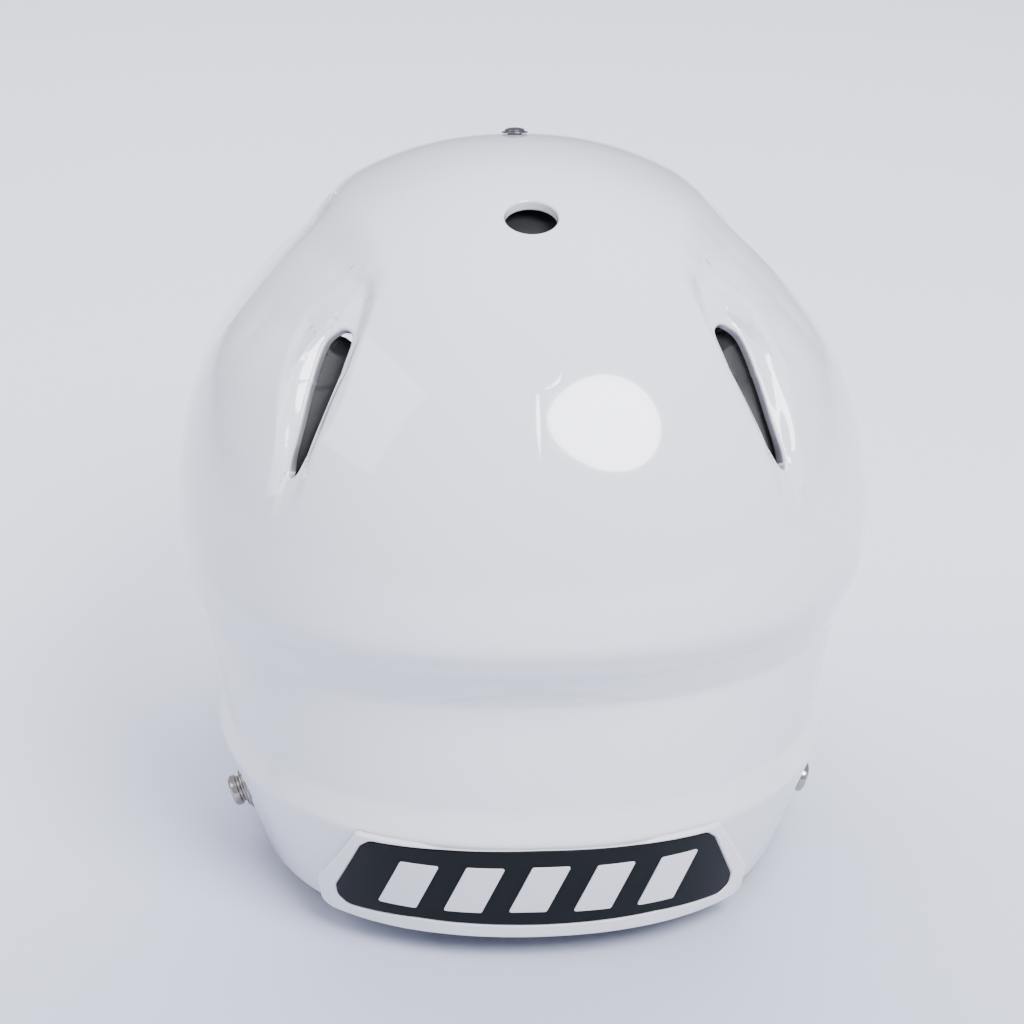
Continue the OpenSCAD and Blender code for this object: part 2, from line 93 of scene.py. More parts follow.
def drop(values, z):
    """Inset of the skirt at height z, with its creases rounded."""
    total = np.zeros(np.shape(z))
    for k in np.linspace(-CREASE, CREASE, CREASE_STEPS):
        zz = z + k
        quad = values[4] * np.clip((EQ_Z - zz) / (EQ_Z - BREAK_Z[4]), 0, 1) ** 2
        total += np.where(zz > BREAK_Z[4], quad, np.interp(zz, BREAK_Z, values)) / CREASE_STEPS
    return total


def skin(p, off=0.0, dents=True):
    """Points of the surface for parameters p, whose polar angle is the azimuth and radius the level."""
    a, h = np.arctan2(p[:, 0], p[:, 1]), np.hypot(p[:, 0], p[:, 1])
    s, c, rho = np.sin(a), np.cos(a), plan(a)
    length = np.where(c > 0, REAR_LEN, FRONT_LEN)
    # dome
    hh = np.minimum(h, 1) * math.pi / 2
    q, cz = np.sin(hh), np.cos(hh)
    x, y, z = rho * s * q, rho * c * q, EQ_Z + CROWN_H * cz
    gx = np.sign(s) * np.abs(rho * s / HALF_W) ** (SQUARE - 1) / HALF_W * q
    gy = np.sign(c) * np.abs(rho * c / length) ** (SQUARE - 1) / length * q
    g = np.stack([gx, gy, cz / CROWN_H], -1)
    g /= np.linalg.norm(g, axis=1, keepdims=True) + 1e-12
    depth = off
    if dents:
        # the valley ends at the dome's foot, a little higher and more gently towards the front
        fwd = ease((60 - y) / 40)
        fade = ease((z - 142 - 10 * fwd) / (20 + 36 * fwd))
        depth = off - valley(x, y) * fade
    dome = np.stack([x, y, z], -1) + g * np.reshape(depth, (-1, 1))
    # skirt
    zs = EQ_Z * (2 - np.maximum(h, 1))
    k = np.clip(c, 0, 1) ** 2
    r = rho - drop(DROP_SIDE, zs) * (1 - k) - drop(DROP_REAR, zs) * k
    n = np.stack([np.sign(s) * np.abs(s) ** (SQUARE - 1) / HALF_W ** SQUARE,
                  np.sign(c) * np.abs(c) ** (SQUARE - 1) / length ** SQUARE], -1)
    n /= np.linalg.norm(n, axis=1, keepdims=True)
    o = np.broadcast_to(off, r.shape)
    skirt = np.stack([r * s + o * n[:, 0], r * c + o * n[:, 1], zs], -1)
    return np.where((h <= 1)[:, None], dome, skirt)


def level(z):
    """Level of a height over the floor."""
    if z >= EQ_Z:
        return math.acos((z - EQ_Z) / CROWN_H) / (math.pi / 2)
    return 1 + (EQ_Z - z) / EQ_Z


def polar(a_deg, h):
    """Surface parameters of azimuths and levels."""
    a = np.radians(a_deg)
    return np.stack([h * np.sin(a), h * np.cos(a)], -1)


def place(a_deg, h):
    """A point of the surface and its outward normal."""
    p = polar(np.array([a_deg, a_deg, a_deg, a_deg - 0.5, a_deg + 0.5], float),
              np.array([h, h - 0.004, h + 0.004, h, h]))
    x = skin(p)
    n = np.cross(x[2] - x[1], x[3] - x[4])
    return x[0], n / np.linalg.norm(n)


# ---- outlines: signed distances, positive inside the material --------------------------
def smooth_ring(points, passes=2):
    """Polygon with its corners cut off again and again."""
    p = np.array(points, float)
    for _ in range(passes):
        nxt = np.roll(p, -1, 0)
        p = np.stack([p * 0.75 + nxt * 0.25, p * 0.25 + nxt * 0.75], 1).reshape(-1, 2)
    return p


def ring_distance(u, v, ring):
    """Distance from (u, v) to a closed polygon, negative inside it."""
    best, inside = np.full(u.shape, 1e9), np.zeros(u.shape, bool)
    for p, q in zip(ring, np.roll(ring, -1, 0)):
        d = q - p
        t = np.clip(((u - p[0]) * d[0] + (v - p[1]) * d[1]) / (d @ d + 1e-12), 0, 1)
        best = np.minimum(best, np.hypot(u - p[0] - t * d[0], v - p[1] - t * d[1]))
        if p[1] != q[1]:
            cross = ((p[1] > v) != (q[1] > v)) & (u < (q[0] - p[0]) * (v - p[1]) / (q[1] - p[1]) + p[0])
            inside ^= cross
    return np.where(inside, -best, best)


def round_ring(points, radius, steps=6):
    """Polygon with every corner rounded to about the given radius."""
    p = np.array(points, float)
    out = []
    for a, b, c in zip(np.roll(p, 1, 0), p, np.roll(p, -1, 0)):
        u, w = a - b, c - b
        lu, lw = np.hypot(*u), np.hypot(*w)
        half = math.acos(np.clip(u @ w / (lu * lw), -1, 1)) / 2
        cut = min(radius / max(math.tan(half), 1e-3), 0.45 * lu, 0.45 * lw)
        s, e = b + u / lu * cut, b + w / lw * cut
        for t in np.linspace(0, 1, steps):
            out.append((1 - t) ** 2 * s + 2 * t * (1 - t) * b + t * t * e)
    return np.array(out)


# ---- mesh building in parameter space --------------------------------------------------
def disc(levels, segs):
    """Triangles of the whole surface from the crown down."""
    p = [np.zeros((1, 2))]
    for h in levels:
        a = np.arange(segs) * 360.0 / segs
        p.append(polar(a, np.full(segs, h)))
    t = []
    j = np.arange(segs)
    k = (j + 1) % segs
    t.append(np.stack([np.zeros(segs, int), 1 + k, 1 + j], -1))
    for i in range(len(levels) - 1):
        r0, r1 = 1 + i * segs, 1 + (i + 1) * segs
        t.append(np.stack([r0 + j, r0 + k, r1 + k], -1))
        t.append(np.stack([r0 + j, r1 + k, r1 + j], -1))
    return np.concatenate(p), np.concatenate(t)


def panel(a0, a1, h0, h1, na, nh):
    """Triangles of a piece of the surface between two azimuths and two levels."""
    a, h = np.meshgrid(np.linspace(a0, a1, na + 1), np.linspace(h0, h1, nh + 1))
    p = polar(a.ravel(), h.ravel())
    i, j = np.meshgrid(np.arange(nh), np.arange(na), indexing="ij")
    b = (i * (na + 1) + j).ravel()
    w = na + 1
    t = np.concatenate([np.stack([b, b + 1, b + w + 1], -1), np.stack([b, b + w + 1, b + w], -1)])
    return p, t


def edge_table(t):
    """The edges of some triangles, and the three edges of each triangle."""
    e = np.sort(np.concatenate([t[:, [0, 1]], t[:, [1, 2]], t[:, [2, 0]]]), axis=1)
    uniq, back = np.unique(e, axis=0, return_inverse=True)
    n = len(t)
    return uniq, back.reshape(3, n).T


def refine(p, t, form, outline, fine, passes=6):
    """Splits long edges near the outline until they are about as long as fine."""
    for _ in range(passes):
        x = form(p)
        f = np.abs(outline(x, p))
        uniq, tri = edge_table(t)
        size = np.linalg.norm(x[uniq[:, 0]] - x[uniq[:, 1]], axis=1)
        near = np.minimum(f[uniq[:, 0]], f[uniq[:, 1]])
        mark = size > np.maximum(fine, 0.6 * near) * 1.4
        if not mark.any():
            break
        mid = np.full(len(uniq), -1)
        mid[mark] = len(p) + np.arange(mark.sum())
        p = np.concatenate([p, (p[uniq[mark, 0]] + p[uniq[mark, 1]]) / 2])
        m = mid[tri]
        hits = (m >= 0).sum(1)
        out = [t[hits == 0]]
        for shift in range(3):
            tt, mm = np.roll(t, -shift, 1), np.roll(m, -shift, 1)
            one = (hits == 1) & (mm[:, 0] >= 0)
            a, b, c, k = tt[one, 0], tt[one, 1], tt[one, 2], mm[one, 0]
            out += [np.stack([a, k, c], -1), np.stack([k, b, c], -1)]
            two = (hits == 2) & (mm[:, 0] >= 0) & (mm[:, 1] >= 0)
            a, b, c, k, n = tt[two, 0], tt[two, 1], tt[two, 2], mm[two, 0], mm[two, 1]
            out += [np.stack([k, b, n], -1), np.stack([a, k, n], -1), np.stack([a, n, c], -1)]
        full = hits == 3
        a, b, c = t[full].T
        k, n, q = m[full].T
        out += [np.stack([a, k, q], -1), np.stack([k, b, n], -1), np.stack([q, n, c], -1),
                np.stack([k, n, q], -1)]
        t = np.concatenate(out)
    return p, t


def trim(p, t, form, outline):
    """Keeps the part with a positive outline value, cut exactly along the outline."""
    f = outline(form(p), p)
    f = np.where(np.abs(f) < 1e-4, 1e-4, f)
    uniq, tri = edge_table(t)
    f0, f1 = f[uniq[:, 0]], f[uniq[:, 1]]
    cut = (f0 > 0) != (f1 > 0)
    lo, hi = p[uniq[cut, 0]].copy(), p[uniq[cut, 1]].copy()
    flo, fhi = f0[cut].copy(), f1[cut].copy()
    for _ in range(4):
        k = (flo / (flo - fhi))[:, None]
        new = lo + (hi - lo) * np.clip(k, 0.02, 0.98)
        fn = outline(form(new), new)
        same = (fn > 0) == (flo > 0)
        lo[same], flo[same] = new[same], fn[same]
        hi[~same], fhi[~same] = new[~same], fn[~same]
    mid = np.full(len(uniq), -1)
    mid[cut] = len(p) + np.arange(cut.sum())
    p = np.concatenate([p, new])
    m = mid[tri]
    pos = f[t] > 0
    count = pos.sum(1)
    out = [t[count == 3]]
    for shift in range(3):
        tt, mm, pp = np.roll(t, -shift, 1), np.roll(m, -shift, 1), np.roll(pos, -shift, 1)
        one = (count == 1) & pp[:, 0]
        out.append(np.stack([tt[one, 0], mm[one, 0], mm[one, 2]], -1))
        two = (count == 2) & ~pp[:, 2]
        a, b, bc, ca = tt[two, 0], tt[two, 1], mm[two, 1], mm[two, 2]
        out += [np.stack([a, b, bc], -1), np.stack([a, bc, ca], -1)]
    t = np.concatenate(out)
    used, back = np.unique(t, return_inverse=True)
    return p[used], back.reshape(-1, 3)


def rims(t):
    """Boundary loops as ordered vertex lists, in the direction of the triangles' edges."""
    e = np.concatenate([t[:, [0, 1]], t[:, [1, 2]], t[:, [2, 0]]])
    key = np.sort(e, axis=1)
    _, back, count = np.unique(key, axis=0, return_inverse=True, return_counts=True)
    step = {int(a): int(b) for a, b in e[count[back.ravel()] == 1]}
    loops = []
    while step:
        start, nxt = step.popitem()
        loop = [start]
        while nxt != start and nxt in step:
            loop.append(nxt)
            nxt = step.pop(nxt)
        loops.append(loop)
    return [q for q in loops if len(q) > 5]


def normals_of(form, p, step=0.0015):
    """Unit normals of a form by differences in parameter space, outward for a positive offset."""
    du = form(p + [step, 0]) - form(p - [step, 0])
    dv = form(p + [0, step]) - form(p - [0, step])
    n = np.cross(du, dv)
    n /= np.linalg.norm(n, axis=1, keepdims=True) + 1e-12
    return n


def unit(v):
    return v / (np.linalg.norm(v, axis=-1, keepdims=True) + 1e-12)


def soften(v, rounds=2):
    """Directions along a rim, evened out with their neighbours."""
    for _ in range(rounds):
        v = 0.5 * v + 0.25 * (np.roll(v, 1, 0) + np.roll(v, -1, 0))
    return unit(v)


def solid(p, t, outer, inner, outline, rim=1.0, r_out=1.0, r_in=1.0, fine=1.0, steps=4, also=None):
    """Closed plate between two offset surfaces, with an edge rounded over the outline's last rim mm.

    The mesh is about as fine as fine along the outline and along the zero line of also.
    """
    def inset(x, q):
        return outline(x, q) - rim

    def near(x, q):
        return inset(x, q) if also is None else np.minimum(np.abs(inset(x, q)), np.abs(also(x, q)))

    p, t = refine(p, t, outer, near, fine)
    p, t = trim(p, t, outer, inset)
    xo, xi = outer(p), inner(p)
    no, ni = normals_of(outer, p), normals_of(inner, p)
    n = len(p)
    verts, norms = [xo, xi], [no, -ni]
    faces = [t, t[:, ::-1] + n]
    base = 2 * n
    for loop in rims(t):
        k = np.array(loop)
        x = xo[k]
        tang = soften(unit(np.roll(x, -1, 0) - np.roll(x, 1, 0)), 1)
        side = soften(unit(np.cross(tang, no[k])))
        down = unit(xi[k] - xo[k])
        rows = [k]
        for q in np.linspace(0, math.pi / 2, steps + 1)[1:]:
            verts.append(x + side * rim * math.sin(q) + down * r_out * (1 - math.cos(q)))
            norms.append(unit(side * math.sin(q) * r_out - down * math.cos(q) * rim))
            rows.append(base + np.arange(len(k)))
            base += len(k)
        for q in np.linspace(math.pi / 2, 0, steps + 1)[:-1]:
            verts.append(xi[k] + side * rim * math.sin(q) - down * r_in * (1 - math.cos(q)))
            norms.append(unit(side * math.sin(q) * r_in + down * math.cos(q) * rim))
            rows.append(base + np.arange(len(k)))
            base += len(k)
        rows.append(k + n)
        for r0, r1 in zip(rows[:-1], rows[1:]):
            s0, s1 = np.roll(r0, -1), np.roll(r1, -1)
            faces += [np.stack([s0, r0, r1], -1), np.stack([s0, r1, s1], -1)]
    return np.concatenate(verts), np.concatenate(faces), np.concatenate(norms)


# ---- Blender objects -------------------------------------------------------------------
def make(name, verts, faces, norms=None, mat=None, sharp=None):
    """Smooth mesh object, with its normals given or with edges over the sharp angle kept."""
    me = bpy.data.meshes.new(name)
    me.vertices.add(len(verts))
    me.vertices.foreach_set("co", (np.asarray(verts) + SHIFT).astype(np.float32).ravel() * np.float32(MM))
    me.loops.add(faces.size)
    me.loops.foreach_set("vertex_index", faces.ravel().astype(np.int32))
    me.polygons.add(len(faces))
    me.polygons.foreach_set("loop_start", (np.arange(len(faces)) * faces.shape[1]).astype(np.int32))
    me.update(calc_edges=True)
    me.shade_smooth()
    if norms is not None:
        me.normals_split_custom_set_from_vertices([tuple(v) for v in norms])
    elif sharp:
        me.set_sharp_from_angle(angle=math.radians(sharp))
    if mat:
        me.materials.append(mat)
    ob = bpy.data.objects.new(name, me)
    bpy.context.scene.collection.objects.link(ob)
    return ob


def piece(ob, node):
    """Lets a mesh ride on the helmet and stand for a node, whose imported part is hidden."""
    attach(ob, BODY)
    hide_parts(node)
    return ob


def plate(name, node, slot, grid, outer, inner, outline, **edge):
    """Piece made by solid() from a grid of the surface."""
    v, f, n = solid(*grid, outer, inner, outline, **edge)
    return piece(make(name, v, f, n, MATS[slot]), node)


def at_offset(off):
    return lambda p: skin(p, off)


# ---- outlines of the pieces ------------------------------------------------------------
OPENING = smooth_ring([(-215, 154), (-128, 152), (-100, 144), (-86, 130), (-79, 114), (-80, 100),
                       (-96, 88), (-110, 78), (-116, 64), (-114, 24), (-106, -14), (-215, -14)])
BOTTOM = smooth_ring([(200, -30), (200, EDGE_Z), (-30, EDGE_Z), (-58, 0), (-70, 0), (-140, 0),
                      (-140, -30)], 2)
OPENING_CORNER = 14  # radius where the face opening meets the lower edge
EAR_Y, EAR_Z, EAR_R = 0.0, 58.0, 13.0
HOLE_AT, HOLE_NORMAL = place(0.0, level(230.6))
HOLE_R = 8.25
VENT_AT = np.array([66, 74.5, 180.0])
VENT_AXES = np.array([(-0.783, 0.619, 0.041), (-0.376, -0.526, 0.762), (0.494, 0.582, 0.646)])
VENT = smooth_ring([(-6.4, 19.5), (-6.3, 23), (-4.6, 25.8), (-2, 26.8), (0.6, 26), (1.9, 23.4), (2.2, 16),
                    (2.7, 6), (2.8, -2), (2.3, -10), (1.8, -17.5), (1, -21), (-0.6, -22.6), (-1.8, -22.2),
                    (-2.7, -19), (-3.1, -12), (-3.5, -5), (-4.5, 3), (-5.6, 11)])
SLIT_AT = np.array([61, -27, 215.0])
TILT = math.radians(42)
TURN = math.radians(-8)
SLIT_U = np.array([math.cos(TILT) * math.cos(TURN), math.sin(TURN), -math.sin(TILT) * math.cos(TURN)])
SLIT_SIDE, SLIT_END, SLIT_ROUND = 1.5, 17, 3  # half width and half length without the rounding
SLIT_V = np.array([-math.cos(TILT) * math.sin(TURN), math.cos(TURN), math.sin(TILT) * math.sin(TURN)])


def join(*values, k=0.0):
    """Intersection of signed distances, with inner corners rounded by k."""
    out = values[0]
    for v in values[1:]:
        if k > 0:
            h = np.clip(0.5 - 0.5 * (v - out) / k, 0, 1)
            out = out * (1 - h) + v * h - k * h * (1 - h)
        else:
            out = np.minimum(out, v)
    return out


def box_distance(u, v):
    """Distance to a rectangle, from the distances u and v past its sides."""
    return np.hypot(np.maximum(u, 0), np.maximum(v, 0)) + np.minimum(np.maximum(u, v), 0)


def mirrored(x):
    """Points brought over to the +X side."""
    return np.stack([np.abs(x[:, 0]), x[:, 1], x[:, 2]], -1)


def shell_outline(x, p):
    """Edge of the shell with its ear, crown and vent openings."""
    y, z = x[:, 1], x[:, 2]
    f = join(ring_distance(y, z, OPENING), ring_distance(y, z, BOTTOM), k=OPENING_CORNER)
    ear = np.hypot(y - EAR_Y, z - EAR_Z) - EAR_R
    d = x - HOLE_AT
    off_axis = np.linalg.norm(d - (d @ HOLE_NORMAL)[:, None] * HOLE_NORMAL, axis=1)
    hole = np.where(d[:, 2] > -20, off_axis - HOLE_R, FAR)
    m = mirrored(x)
    v = (m - VENT_AT) @ VENT_AXES.T
    vent = np.where(np.abs(v[:, 2]) < 25, ring_distance(v[:, 0], v[:, 1], VENT), FAR)
    s = m - SLIT_AT
    slit = box_distance(np.abs(s @ SLIT_U) - SLIT_SIDE, np.abs(s @ SLIT_V) - SLIT_END) - SLIT_ROUND
    slit = np.where(x[:, 2] > 180, slit, FAR)
    return join(f, ear, hole, vent, slit)


def ring_outline(ring):
    """Outline in the rear view, x and z."""
    return lambda x, p: np.where(x[:, 1] > 0, -ring_distance(x[:, 0], x[:, 2], ring), -FAR)


def patch_outline(a0, a1, h0, h1, radius):
    """Rounded rectangle between two azimuths and two levels, in mm at its middle."""
    am, hm = (a0 + a1) / 2, (h0 + h1) / 2
    x = skin(polar(np.array([am, am + 1, am, am]), np.array([hm, hm, hm, hm + 0.01])))
    ku, kv = np.linalg.norm(x[1] - x[0]), np.linalg.norm(x[3] - x[2]) / 0.01
    hu, hv = (a1 - a0) / 2 * ku - radius, abs(h1 - h0) / 2 * kv - radius

    def f(_, p):
        a = (np.degrees(np.arctan2(p[:, 0], p[:, 1])) - am + 180) % 360 - 180
        u, v = np.abs(a * ku) - hu, np.abs((np.hypot(p[:, 0], p[:, 1]) - hm) * kv) - hv
        return radius - box_distance(u, v)

    return f


# ---- materials -------------------------------------------------------------------------
def material(name, colour, rough, metal=0.0, coat=0.0, bump=(), ior=1.5, tint=0.02, sheen=0.0,
             rough_var=0.0):
    """Principled surface with mottled colour, uneven roughness and layers of fine relief."""
    m = bpy.data.materials.new(name)
    m.use_nodes = True
    nt = m.node_tree
    b = nt.nodes["Principled BSDF"]
    b.inputs["Metallic"].default_value = metal
    b.inputs["Roughness"].default_value = rough
    b.inputs["IOR"].default_value = ior
    b.inputs["Coat Weight"].default_value = coat
    b.inputs["Coat Roughness"].default_value = 0.03
    b.inputs["Sheen Weight"].default_value = sheen
    geo = nt.nodes.new("ShaderNodeTexCoord")

    def noise(scale, detail=3.0):
        n = nt.nodes.new("ShaderNodeTexNoise")
        n.inputs["Scale"].default_value = scale
        n.inputs["Detail"].default_value = detail
        nt.links.new(geo.outputs["Object"], n.inputs["Vector"])
        return n.outputs["Fac"]

    ramp = nt.nodes.new("ShaderNodeMix")
    ramp.data_type = "RGBA"
    ramp.inputs[6].default_value = [max(0, c * (1 - tint)) for c in colour] + [1]
    ramp.inputs[7].default_value = [min(1, c * (1 + tint)) for c in colour] + [1]
    nt.links.new(noise(40), ramp.inputs[0])
    nt.links.new(ramp.outputs[2], b.inputs["Base Color"])
    if rough_var:
        r = nt.nodes.new("ShaderNodeMapRange")
        r.inputs["To Min"].default_value = max(0.01, rough - rough_var)
        r.inputs["To Max"].default_value = rough + rough_var
        nt.links.new(noise(300, 5), r.inputs["Value"])
        nt.links.new(r.outputs[0], b.inputs["Roughness"])
    last = None
    for scale, height in bump:
        k = nt.nodes.new("ShaderNodeBump")
        k.inputs["Strength"].default_value = 1.0
        k.inputs["Distance"].default_value = height * MM
        nt.links.new(noise(scale), k.inputs["Height"])
        if last:
            nt.links.new(last, k.inputs["Normal"])
        last = k.outputs[0]
    if last:
        nt.links.new(last, b.inputs["Normal"])
    return m


MATS = {
    "shell_white": material("shell_gloss", (0.755, 0.755, 0.805), 0.10, coat=0.9, tint=0.006,
                            bump=((90, 0.010),), rough_var=0.02),
    "bumper_white": material("bumper_satin", (0.80, 0.80, 0.82), 0.34, tint=0.01,
                             bump=((900, 0.02),), rough_var=0.05),
    "panel_dark": material("panel_satin", (0.004, 0.005, 0.006), 0.5, ior=1.22, bump=((1500, 0.01),)),
    "emblem_white": material("emblem_print", (0.75, 0.75, 0.77), 0.30, bump=((1200, 0.008),)),
    "mask_coating": material("powder_coat", (0.78, 0.78, 0.80), 0.30, coat=0.25,
                             bump=((700, 0.03),), rough_var=0.05),
    "clip_plastic": material("clip_nylon", (0.76, 0.76, 0.78), 0.36, bump=((1300, 0.02),)),
    "pad_comfort": material("pad_comfort", (0.014, 0.015, 0.018), 0.58, sheen=0.1,
                            bump=((1500, 0.05), (160, 0.10)), tint=0.2),
    "snap_black": material("snap_black", (0.03, 0.03, 0.033), 0.4, bump=((900, 0.02),)),
    "lock_steel": material("lock_steel", (0.62, 0.61, 0.60), 0.24, metal=1, bump=((1800, 0.008),),
                           rough_var=0.08),
    "stud_nickel": material("stud_nickel", (0.40, 0.38, 0.35), 0.16, metal=1, bump=((900, 0.006),),
                            rough_var=0.06),
    "screw_dark": material("screw_dark", (0.16, 0.16, 0.17), 0.3, metal=1, bump=((1400, 0.01),),
                           rough_var=0.08),
    "screw_steel": material("screw_steel", (0.56, 0.56, 0.56), 0.28, metal=1, bump=((1400, 0.01),),
                            rough_var=0.08),
}

# ---- shell -----------------------------------------------------------------------------
SEGS = 360
rings = [i / 90 for i in range(1, 91)]
lower = [level(z) for z in np.concatenate([np.arange(EQ_Z - 1.5, 110, -1.5), np.arange(110, 90, -0.8),
                                           np.arange(90, 61, -1.6), np.arange(61, 54, -0.8),
                                           np.arange(54, -4, -1.8)])]
GATE = place(0, level(198))[0]


def gate_mark(x):
    """Distance to the faint round mark of the mould gate and the line under it."""
    ring = np.abs(np.hypot(x[:, 0] - GATE[0], (x[:, 2] - GATE[2]) * 1.34) - 6.3)
    ring = ring + FAR * (np.abs(x[:, 0]) > 12)
    line = np.hypot(x[:, 0] - 0.9, np.maximum(np.abs(x[:, 2] - 184) - 8, 0) * 1.3)
    return np.where(x[:, 1] > 40, np.minimum(ring, line), FAR)


SCOOP_DEPTH, SCOOP_RUN = 0.9, 5.0  # depth, and the distance from the edge to full depth
GATE_DEPTH, GATE_WIDTH = 0.05, 0.6
SCOOP = smooth_ring([(2, 46), (8, 36), (11, 27), (12.5, 16), (13.5, 3), (11.5, -7), (6.5, -16), (1, -25),
                     (-6, -20), (-12, -4), (-17.5, 13), (-20, 21), (-19.5, 31), (-14, 37), (-6, 45)])


def scoop(x):
    """Distance to the edge of the shallow hollow round a rear vent, negative inside it."""
    v = (mirrored(x) - VENT_AT) @ VENT_AXES.T
    near = (np.abs(v[:, 2]) < 18) & (np.abs(v[:, 1]) < 60) & (np.abs(v[:, 0]) < 40)
    d = np.full(len(x), FAR)
    d[near] = ring_distance(v[near, 0], v[near, 1], SCOOP)
    return d


def shell_face(p):
    x = skin(p)
    hollow = -SCOOP_DEPTH * ease(-scoop(x) / SCOOP_RUN)
    return skin(p, hollow - GATE_DEPTH * np.exp(-(gate_mark(x) / GATE_WIDTH) ** 2))


plate("helmet_shell", "shell", "shell_white", disc(rings + lower, SEGS), shell_face, at_offset(-WALL),
      shell_outline, rim=1.0, r_out=1.0, r_in=1.0, fine=0.9,
      also=lambda x, q: np.minimum(gate_mark(x), np.abs(scoop(x))) + 1.0)

# ---- rear bumper, its panel and emblem -------------------------------------------------
BUMPER = round_ring([(-58, 55), (58, 55), (58, 48), (70, 22), (69, 12), (66, 9.8), (30, 9.9), (0, 9.5),
                     (-30, 9.9), (-66, 9.8), (-69, 12), (-70, 22), (-58, 48)], 4)
PANEL = round_ring([(-53, 46.9), (-30, 48), (0, 48.3), (30, 48), (53, 46.9), (56, 43.6), (63.8, 22),
                    (63.4, 17.6), (60, 14.8), (38, 16.2), (0, 15.4), (-38, 16.2), (-60, 14.8),
                    (-63.4, 17.6), (-63.8, 22), (-56, 43.6)], 3.5)
GAP = 0.3  # air between the shell and what is fixed on it
WEDGE_Z, WEDGE_OUT = [5, 49], [5.0, 2.2]  # the bumper stands out more at its foot
BUMPER_TOP = 49.2
PANEL_SINK = 1.15  # depth of the recess that holds the panel
on_panel = ring_outline(PANEL)


def wedge(p, below=0.0):
    """How far the bumper's face, or a layer below it, stands out from the shell."""
    z = EQ_Z * (2 - np.maximum(np.hypot(p[:, 0], p[:, 1]), 1))
    return np.interp(z, WEDGE_Z, WEDGE_OUT) - below


def wedge_layer(below):
    return lambda p: skin(p, wedge(p, below))


def bumper_face(p):
    x = skin(p, wedge(p))
    sunk = ease((on_panel(x, p) + 0.6) / 0.7) * PANEL_SINK
    return skin(p, wedge(p, sunk))


def bumper_edge(x, p):
    z = EQ_Z * (2 - np.hypot(p[:, 0], p[:, 1]))
    return np.minimum(ring_outline(BUMPER)(x, p), BUMPER_TOP - z)


plate("rear_bumper_body", "rear_bumper", "bumper_white", panel(-50, 50, level(51), level(5), 150, 60),
      bumper_face, at_offset(GAP), bumper_edge, rim=0.9, r_out=0.9, r_in=0.2, fine=0.6,
      also=lambda x, q: on_panel(x, q) + 0.25)
plate("bumper_plate", "bumper_panel", "panel_dark", panel(-50, 50, level(51), level(5), 120, 40),
      wedge_layer(0.25), wedge_layer(1.0), on_panel, rim=0.3, r_out=0.3, r_in=0.2, fine=0.6, steps=3)

BAR_STEP, BAR_Z, BAR_HALF_W, BAR_HALF_H, BAR_LEAN = 20.5, 31.6, 6, 10, 3.5
v, f, n, count = [], [], [], 0
for i in range(-2, 3):
    x0, z0 = i * BAR_STEP, BAR_Z - abs(i) * 0.4
    bar = round_ring([(x0 + BAR_HALF_W * right - BAR_LEAN * up, z0 + BAR_HALF_H * up)
                      for right, up in ((-1, -1), (1, -1), (1, 1), (-1, 1))], 0.8)
    a0, a1 = math.degrees(math.atan2(x0 - 14, 100)), math.degrees(math.atan2(x0 + 14, 100))
    p, t = panel(a0 - 2, a1 + 2, level(44), level(18), 24, 24)
    vv, ff, nn = solid(p, t, wedge_layer(-0.2), wedge_layer(0.35), ring_outline(bar),
                       rim=0.2, r_out=0.2, r_in=0.1, fine=0.5, steps=3)
    v.append(vv)
    f.append(ff + count)
    n.append(nn)
    count += len(vv)
piece(make("bumper_bars", np.concatenate(v), np.concatenate(f), np.concatenate(n), MATS["emblem_white"]),
      "bumper_emblem")

# ---- front bumper ----------------------------------------------------------------------
plate("brow_bumper_body", "brow_bumper", "bumper_white", panel(170, 190, level(190), level(152), 40, 40),
      at_offset(GAP + 4.2), at_offset(GAP),
      patch_outline(180 - 8.46, 180 + 8.46, level(186), level(156), 4.0),
      rim=1.6, r_out=1.6, r_in=0.3, fine=0.8)

# ---- pads ------------------------------------------------------------------------------
LINER = -WALL - 1.2  # offset of the liner's outer side
PAD_CORNER = 9.0
PUFF, PUFF_RUN, EDGE_RUN = 2.2, 9, 22  # swell of a cell, from its grooves and from the pad's edge
GROOVE_DEPTH, GROOVE_WIDTH = 3.6, 1.7
CROWN_GROOVE_DEPTH, CROWN_PUFF = 3.2, 2
CROWN_MM = 180  # length along the surface of one unit of level near the crown
CROWN_RING = 24  # radius of the crown pad's middle cell


